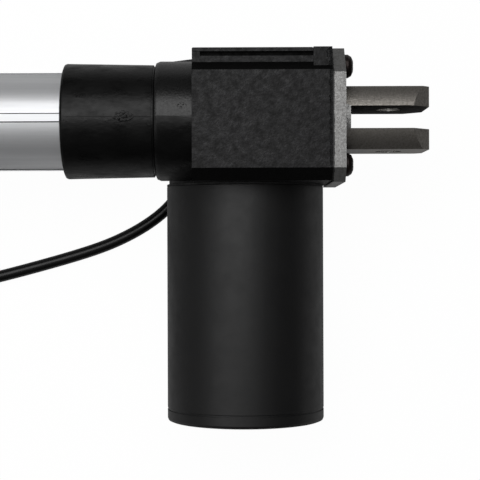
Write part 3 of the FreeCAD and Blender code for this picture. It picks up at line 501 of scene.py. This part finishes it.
def patch(name, columns, rows, place):
    """A torn patch, closed underneath: place(u, v) puts each point of a grid from -1 to 1 both ways."""
    top = [place(2 * i / columns - 1, 2 * j / rows - 1) for i in range(columns + 1) for j in range(rows + 1)]
    under = [(x, y, z - PATCH_SUNK) for x, y, z in top]
    count = len(top)
    sheet = ring_quads(columns + 1, rows + 1, False)
    last = columns * (rows + 1)
    border = list(range(rows)) + list(range(rows, count - 1, rows + 1))
    border += list(range(count - 1, last, -1)) + list(range(last, 0, -rows - 1))
    walls = [(a, b, b + count, a + count) for a, b in zip(border, border[1:] + border[:1])]
    underside = [tuple(k + count for k in face) for face in sheet]
    mesh = mesh_from(name, top + under, sheet + walls + underside, smooth=True)
    for face in mesh.polygons[len(sheet):]:
        face.use_smooth = False
    return mesh


def eased(value, span):
    """0 before the span, 1 after it, and a smooth rise between."""
    t = min(1.0, max(0.0, (value - span[0]) / (span[1] - span[0])))
    return t * t * (3 - 2 * t)


# The cable: the model's route, three turns in two layers of the coil, then the plug
CABLE_DIAMETER = 5.0
CABLE_ROUTE = [
    (-77.0, -14.5, -46.5),
    (-81.5, -22.4, -47.8),
    (-86.4, -30.6, -48.6),
    (-94.6, -37.9, -49.0),
    (-106.0, -44.7, -49.0),
    (-120.0, -50.5, -49.0),
    (-146.0, -57.9, -49.0),
    (-172.0, -64.4, -48.8),
    (-198.0, -66.6, -48.2),
]

# The coil's turns in degrees, and where the cable changes lane and layer
COIL_FIRST = 90
COIL_LAST = 1170
COIL_STEP = 15
LANE_IN = (380, 450)
LAYER_UP = (620, 690)
LANE_OUT = (940, 1010)

# Where the tail leaves the coil, how it comes down, and how far it goes into the plug
TAIL_LEAVES = 3.0
TAIL_DROPS = 10.0
TAIL_ABOVE_PLUG = 0.8
TAIL_IN_PLUG = 3.0

coil_centre = (coil_low + coil_high) / 2
lane_outer = (coil_high.x - coil_low.x) / 2 - CABLE_DIAMETER / 2
lane_inner = lane_outer - CABLE_DIAMETER
layer_low = coil_low.z + CABLE_DIAMETER / 2
plug_y = (plug_low.y + plug_high.y) / 2
plug_z = (plug_low.z + plug_high.z) / 2


def coil_points():
    """From the lower outer lane into the inner one, up a layer, and out over the first turn."""
    points = []
    for turn in range(COIL_FIRST + COIL_STEP, COIL_LAST, COIL_STEP):
        inward = eased(turn, LANE_IN) - eased(turn, LANE_OUT)
        lane = lane_outer + (lane_inner - lane_outer) * inward
        angle = math.radians(turn)
        points.append((
            coil_centre.x + lane * math.cos(angle),
            coil_centre.y + lane * math.sin(angle),
            layer_low + CABLE_DIAMETER * eased(turn, LAYER_UP),
        ))
    return points


def cable_curve():
    """One smooth line from the boot to the plug, as thick as the cable."""
    tail = [
        (coil_centre.x - TAIL_LEAVES, plug_y, layer_low + CABLE_DIAMETER),
        (coil_centre.x - TAIL_DROPS, plug_y, plug_z + TAIL_ABOVE_PLUG),
        (plug_high.x, plug_y, plug_z),
        (plug_high.x - TAIL_IN_PLUG, plug_y, plug_z),
    ]
    points = CABLE_ROUTE + coil_points() + tail
    curve = bpy.data.curves.new("motor_cable", "CURVE")
    curve.dimensions = "3D"
    curve.bevel_depth = CABLE_DIAMETER / 2 * MM
    curve.bevel_resolution = 5
    curve.use_fill_caps = True
    spline = curve.splines.new("NURBS")
    spline.points.add(len(points) - 1)
    for control, place in zip(spline.points, points):
        control.co = (*(Vector(place) * MM), 1.0)
    spline.order_u = 3
    spline.use_endpoint_u = True
    spline.resolution_u = 6
    return curve


cable = piece(cable_curve(), soft_pvc)
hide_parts("cable", "cable_coil", "cable_tail")

# The plug: a ringed neck, a body ribbed for grip, and a nose with two contacts
PLUG_NECK = 12.0
PLUG_BODY = 24.0
PLUG_NOSE = 8.0
PLUG_LENGTH = PLUG_NECK + PLUG_BODY + PLUG_NOSE
PLUG_RADIUS = 6.0
PLUG_GROOVE_DEPTH = 0.5
NECK_GROOVES = 4
NECK_GROOVE_FIRST = 1.5
NECK_GROOVE_PITCH = 2.5
NECK_GROOVE_RADIUS = 3.5
NECK_GROOVE_GROWTH = 0.4
GRIP_GROOVES = 6
GRIP_GROOVE_FIRST = 4.0
GRIP_GROOVE_PITCH = 2.2
SOCKET_DEPTH = 4.0
CONTACT_SPREAD = 1.4

# Short runs of (distance, radius) points, set out from the plug's, body's and nose's ends
PLUG_REAR = [(0.0, 3.0), (0.4, 3.5)]
PLUG_SHOULDER = [(0.0, 5.0), (0.6, 5.7), (1.4, PLUG_RADIUS)]
PLUG_FACE = [(-1.4, PLUG_RADIUS), (-0.4, 5.6), (0.0, 5.0), (0.0, 4.5)]
PLUG_TIP = [(-0.6, 4.5), (0.0, 4.1), (0.0, 3.4), (-SOCKET_DEPTH, 3.4)]
CONTACT_PIN = [(0.0, 0.6), (3.2, 0.6), (3.6, 0.3)]


def set_out(run, along, radius=0.0):
    """A run of (distance, radius) points, moved along and outwards."""
    return [(along + distance, radius + rise) for distance, rise in run]


def plug_groove(width, slope):
    """One groove round the plug: down a slope, along the floor and up again."""
    return [(0.0, 0.0), (slope, -PLUG_GROOVE_DEPTH), (width - slope, -PLUG_GROOVE_DEPTH), (width, 0.0)]


def plug_outline():
    outline = list(PLUG_REAR)
    for ring in range(NECK_GROOVES):
        outline += set_out(plug_groove(width=1.5, slope=0.4), NECK_GROOVE_FIRST + ring * NECK_GROOVE_PITCH,
                           NECK_GROOVE_RADIUS + ring * NECK_GROOVE_GROWTH)
    outline += set_out(PLUG_SHOULDER, PLUG_NECK)
    for ring in range(GRIP_GROOVES):
        outline += set_out(plug_groove(width=1.3, slope=0.3),
                           PLUG_NECK + GRIP_GROOVE_FIRST + ring * GRIP_GROOVE_PITCH, PLUG_RADIUS)
    outline += set_out(PLUG_FACE, PLUG_NECK + PLUG_BODY)
    outline += set_out(PLUG_TIP, PLUG_LENGTH)
    return outline


plug_start = Vector((plug_high.x, plug_y, plug_z))
plug_aim = Vector((-1, 0, 0))
plug = piece(turned("motor_plug", plug_outline(), plug_start, plug_aim), black_rubber)
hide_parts("cable_plug")
for side, offset in (("a", CONTACT_SPREAD), ("b", -CONTACT_SPREAD)):
    root = plug_start + Vector((SOCKET_DEPTH - PLUG_LENGTH, offset, 0))
    contact = turned("plug_contact_" + side, CONTACT_PIN, root, plug_aim, steps=16)
    piece(contact, ground_steel).parent = plug

# Strain relief rings on the boot's tapered nose, set back from its tip along the cable
BOOT_RINGS = 5
BOOT_RING_FIRST = 1.6
BOOT_RING_PITCH = 2.3
BOOT_RING = [(-0.6, -0.3), (-0.45, 0.4), (0.45, 0.45), (0.6, -0.3)]

boot_tip = Vector(CABLE_ROUTE[0])
boot_aim = boot_tip - Vector(CABLE_ROUTE[1])
for ring in range(BOOT_RINGS):
    back = BOOT_RING_FIRST + ring * BOOT_RING_PITCH
    radius = BOOT_TIP_RADIUS + (BOOT_ROOT_RADIUS - BOOT_TIP_RADIUS) * back / BOOT_NOSE_LENGTH
    hoop = turned(f"boot_ring_{ring}", set_out(BOOT_RING, back, radius), boot_tip, boot_aim, steps=32)
    piece(hoop, black_rubber)

# Fillets that the extrusion die leaves along the feet of the tube's four ribs
FILLET_REACH = 0.4
FILLET_RISE = 0.32
FILLET_SUNK = 0.1


def rib_fillets():
    points = []
    faces = []
    outer = RIB_HALF + FILLET_REACH
    foot = math.sqrt(TUBE_RADIUS ** 2 - RIB_HALF ** 2)
    section = [
        (RIB_HALF - FILLET_SUNK, foot - FILLET_SUNK),
        (outer, math.sqrt(TUBE_RADIUS ** 2 - outer ** 2)),
        (RIB_HALF - FILLET_SUNK, foot + FILLET_RISE),
    ]
    bar = ring_quads(2, len(section), True) + [(0, 1, 2), (3, 4, 5)]
    for quarter in range(4):
        turn = math.pi / 2 * quarter
        for side in (1, -1):
            first = len(points)
            for x in (end_cap_rear, collar_low.x):
                for across, out in section:
                    points.append((x, side * across * math.cos(turn) - out * math.sin(turn),
                                   side * across * math.sin(turn) + out * math.cos(turn)))
            faces += [tuple(first + k for k in face) for face in bar]
    return mesh_from("tube_rib_fillets", points, faces, smooth=False)


# The fillets' dark aluminium is painted shade along the feet of the ribs
piece(rib_fillets(), rib_foot_shade_aluminium)

# Hoops round the motor
HOOP_STEPS = 128
motor_radius = (can_high.x - can_low.x) / 2
motor_x = (can_low.x + can_high.x) / 2
motor_z = (can_low.z + can_high.z) / 2

# Paint that fills the seam between the can and its cap, almost to the surface
SEAM_SUNK = 0.4
seam_radius = motor_radius - SEAM_SUNK
seam_outline = [(0.0, SEAM_FLOOR), (0.0, seam_radius), (SEAM_WIDTH, seam_radius), (SEAM_WIDTH, SEAM_FLOOR)]
seam = turned("seam_paint", seam_outline, (motor_x, can_low.y, motor_z), (0, -1, 0), HOOP_STEPS, hollow=True)
piece(seam, stoved_paint)

# A gasket squeezed out between the can and the gearbox, round the gearbox's narrower flange
GASKET_THICK = 0.85
GASKET_INNER = 30.2
GASKET_SUNK = 0.02
GASKET_ROUND = 0.1
gasket_radius = motor_radius - GASKET_SUNK
gasket_outline = [
    (0.0, GASKET_INNER),
    (0.0, gasket_radius - GASKET_ROUND),
    (GASKET_ROUND, gasket_radius),
    (GASKET_THICK - GASKET_ROUND, gasket_radius),
    (GASKET_THICK, gasket_radius - GASKET_ROUND),
    (GASKET_THICK, GASKET_INNER),
]
gasket = turned("motor_gasket", gasket_outline, (motor_x, can_high.y, motor_z), (0, 1, 0), HOOP_STEPS,
                hollow=True)
piece(gasket, black_rubber)

# Parting lines along the crowns of the sleeve and the neck
LINE_HALF = 0.22
LINE_RISE = 0.12
LINE_SUNK = 0.1
LINE_SECTION = [(-LINE_HALF, -LINE_SUNK), (-LINE_HALF / 3, LINE_RISE), (LINE_HALF / 3, LINE_RISE),
                (LINE_HALF, -LINE_SUNK)]
LINE_FROM_COLLAR_FRONT = 1.4
LINE_FROM_COLLAR_REAR = 2.0


def collar_radius(x):
    """The sleeve's draft makes it wider towards the front."""
    share = (collar_high.x - COLLAR_GAP - x) / (collar_high.x - COLLAR_GAP - collar_low.x)
    return collar_high.z - COLLAR_DRAFT + COLLAR_DRAFT * share


def neck_radius(x):
    """The neck is straight."""
    return NECK_RADIUS


def parting_line(name, radius_at, ends):
    """A thin raised seam along the crown of a round moulding, between two places on it."""
    points = [(x, y, radius_at(x) + rise) for x in ends for y, rise in LINE_SECTION]
    faces = ring_quads(2, len(LINE_SECTION), True) + [(0, 1, 2, 3), (4, 5, 6, 7)]
    return mesh_from(name, points, faces, smooth=False)


collar_ends = (collar_low.x + LINE_FROM_COLLAR_FRONT, collar_high.x - COLLAR_GAP)
piece(parting_line("collar_parting_line", collar_radius, collar_ends), polished_nylon)
neck_ends = (collar_high.x + LINE_FROM_COLLAR_REAR, NECK_RIGHT)
piece(parting_line("neck_parting_line", neck_radius, neck_ends), neck_nylon)

# Scars where gates were broken off: an almond, torn inside a lip that is itself broken in places
SCAR_TIP_HALF = 0.02
SCAR_TEAR_ACROSS = 1.6
SCAR_PIT_LIMIT = -0.2
SCAR_RIM_POWER = 4
SCAR_SUNK = 0.01
LIP_AT = 0.72
LIP_HALF = 0.2
LIP_BREAK_MEAN = 0.5
LIP_BREAK_SWING = 1.1
LIP_BREAK_ALONG = 0.55
LIP_BREAK_ACROSS = 2.0
LIP_BREAK_LAYER = 7.0


def scar_on(radius_at, centre, half, rise, tear, lip_height, lump_height):
    """Place a scar's points on a round moulding, level with it round the rim."""
    def place(u, v):
        x = centre[0] + u * half[0]
        y = centre[1] + v * half[1] * (1 - u * u) + SCAR_TIP_HALF * v
        torn = noise.noise(Vector((x, y * SCAR_TEAR_ACROSS, 0)) * tear)
        gaps = noise.noise(Vector((x * LIP_BREAK_ALONG, v * LIP_BREAK_ACROSS, LIP_BREAK_LAYER)))
        broken = min(1.0, max(0.0, LIP_BREAK_MEAN + LIP_BREAK_SWING * gaps))
        lip = math.exp(-((abs(v) - LIP_AT) / LIP_HALF) ** 2) * broken
        lumps = lump_height * max(torn, SCAR_PIT_LIMIT) * (1 - lip)
        rim = (1 - v ** SCAR_RIM_POWER) * (1 - u ** SCAR_RIM_POWER)
        radius = radius_at(x) + rise * rim * (lip * lip_height + lumps) - SCAR_SUNK
        return x, y, math.sqrt(radius ** 2 - y ** 2)
    return place


gate_place = scar_on(collar_radius, centre=(-101.6, 0.1), half=(4.7, 2.2), rise=0.3, tear=1.1,
                     lip_height=0.6, lump_height=1.5)
piece(patch("gate_scar", columns=40, rows=20, place=gate_place), polished_nylon)
neck_place = scar_on(neck_radius, centre=(-79.8, 4.1), half=(2.2, 1.4), rise=0.18, tear=1.5,
                     lip_height=0.1, lump_height=1.6)
piece(patch("neck_scar", columns=28, rows=20, place=neck_place), neck_nylon)

# Flash over the corner block's right side
FLASH_WIDTH = 3.4
FLASH_RISE = 0.6
FLASH_SUNK = 0.05
FLASH_MARGIN = 0.3
FLASH_SLOPE = 0.6
FLASH_RIM_POWER = 8
FLASH_EDGE_MEAN = 0.6
FLASH_EDGE_SWING = 0.35
FLASH_EDGE_PER_MM = 0.9
FLASH_LUMP_MEAN = 0.75
FLASH_LUMP_SWING = 0.5
FLASH_LUMPS_PER_MM = (0.8, 0.5)
FLASH_LAYER = 4.0


def corner_flash(u, v):
    """A lumpy skin with a ragged left edge."""
    x = housing_right - FLASH_WIDTH * (1 - u) / 2
    middle = (CORNER_BLOCK_BOTTOM + LID_TOP) / 2
    y = middle + v * ((LID_TOP - CORNER_BLOCK_BOTTOM) / 2 - FLASH_MARGIN)
    ragged = noise.noise(Vector((0, y * FLASH_EDGE_PER_MM, FLASH_LAYER)))
    begins = FLASH_EDGE_MEAN + FLASH_EDGE_SWING * ragged
    rim = (1 - u ** FLASH_RIM_POWER) * (1 - v ** FLASH_RIM_POWER)
    rim *= eased(u + 1, (begins, begins + FLASH_SLOPE))
    lumps = noise.noise(Vector((x * FLASH_LUMPS_PER_MM[0], y * FLASH_LUMPS_PER_MM[1], FLASH_LAYER)))
    height = FLASH_RISE * rim * (FLASH_LUMP_MEAN + FLASH_LUMP_SWING * lumps)
    return x, y, CORNER_BLOCK_FRONT - FLASH_SUNK + height


piece(patch("corner_flash", columns=20, rows=36, place=corner_flash), filled_nylon)

# Floor and light
WHITE = "#FFFFFF"
PAPER_COLOUR = "#B4B4B4"
PAPER_GLOW = 1.06
PAPER_GLOW_SHARE = 0.92
PAPER_IN_REFLECTIONS = 0.2
FLOOR_HALF = 3000.0
FLOOR_GAP = 0.02


def paper_floor():
    """White paper: full white to the eye, pale in reflections, and it still takes a faint shadow."""
    material, tree = empty_tree("white_paper")
    rays = add(tree, "ShaderNodeLightPath")
    mirrored = add(tree, "ShaderNodeMath", {
        0: rays.outputs["Is Glossy Ray"], 1: rays.outputs["Is Transmission Ray"]}, operation="MAXIMUM")
    seen = add(tree, "ShaderNodeMath", {
        0: mirrored.outputs[0], 1: PAPER_IN_REFLECTIONS, 2: rays.outputs["Is Camera Ray"]},
        operation="MULTIPLY_ADD")
    share = add(tree, "ShaderNodeMath", {0: seen.outputs[0], 1: PAPER_GLOW_SHARE}, operation="MULTIPLY")
    paper = add(tree, "ShaderNodeBsdfDiffuse", {"Color": linear(PAPER_COLOUR)})
    glow = add(tree, "ShaderNodeEmission", {"Color": linear(WHITE), "Strength": PAPER_GLOW})
    blend = add(tree, "ShaderNodeMixShader", {
        0: share.outputs[0], 1: paper.outputs["BSDF"], 2: glow.outputs["Emission"]})
    add(tree, "ShaderNodeOutputMaterial", {"Surface": blend.outputs["Shader"]})
    return material


floor_corners = [(x * FLOOR_HALF, y * FLOOR_HALF, floor_z - FLOOR_GAP)
                 for x, y in ((-1, -1), (1, -1), (1, 1), (-1, 1))]
floor = bpy.data.objects.new("floor", mesh_from("floor", floor_corners, [(0, 1, 2, 3)], smooth=False))
scene.collection.objects.link(floor)
dress(floor, paper_floor())


def softbox(name, aim, lean_back, lean_left, distance, size, power):
    """A square lamp over a point, leaning so many degrees towards +Y and towards -X."""
    lamp = bpy.data.lights.new(name, "AREA")
    lamp.size = size * MM
    lamp.energy = power
    made = bpy.data.objects.new(name, lamp)
    made.rotation_euler = (-math.radians(lean_back), -math.radians(lean_left), 0)
    made.location = (Vector(aim) + made.rotation_euler.to_matrix() @ Vector((0, 0, distance))) * MM
    scene.collection.objects.link(made)


softbox("key_softbox", (-90, -30, 0), lean_back=21, lean_left=9, distance=1000, size=780, power=5.2)
softbox("left_fill", (-60, -110, 0), lean_back=-6, lean_left=38, distance=1000, size=420, power=0.7)

# A room that is brighter overhead and on the key light's side, and white to the eye
ROOM_BRIGHT_SIDE = (-0.4, 0.3, 0.87)
ROOM_FADE = (-0.4, 1.0)
ROOM_LEVELS = (0.015, 0.215)

world = bpy.data.worlds.new("studio")
scene.world = world
world.use_nodes = True
room = world.node_tree
room.nodes.clear()
direction = add(room, "ShaderNodeTexCoord")
facing = add(room, "ShaderNodeVectorMath", {
    0: direction.outputs["Generated"], 1: ROOM_BRIGHT_SIDE}, operation="DOT_PRODUCT")
level = add(room, "ShaderNodeMapRange", {
    "Value": facing.outputs["Value"], "From Min": ROOM_FADE[0], "From Max": ROOM_FADE[1],
    "To Min": ROOM_LEVELS[0], "To Max": ROOM_LEVELS[1]})
eye = add(room, "ShaderNodeLightPath")
shown = add(room, "ShaderNodeMath", {
    0: level.outputs["Result"], 1: eye.outputs["Is Camera Ray"]}, operation="MAXIMUM")
studio = add(room, "ShaderNodeBackground", {"Color": linear(WHITE), "Strength": shown.outputs[0]})
add(room, "ShaderNodeOutputWorld", {"Surface": studio.outputs["Background"]})
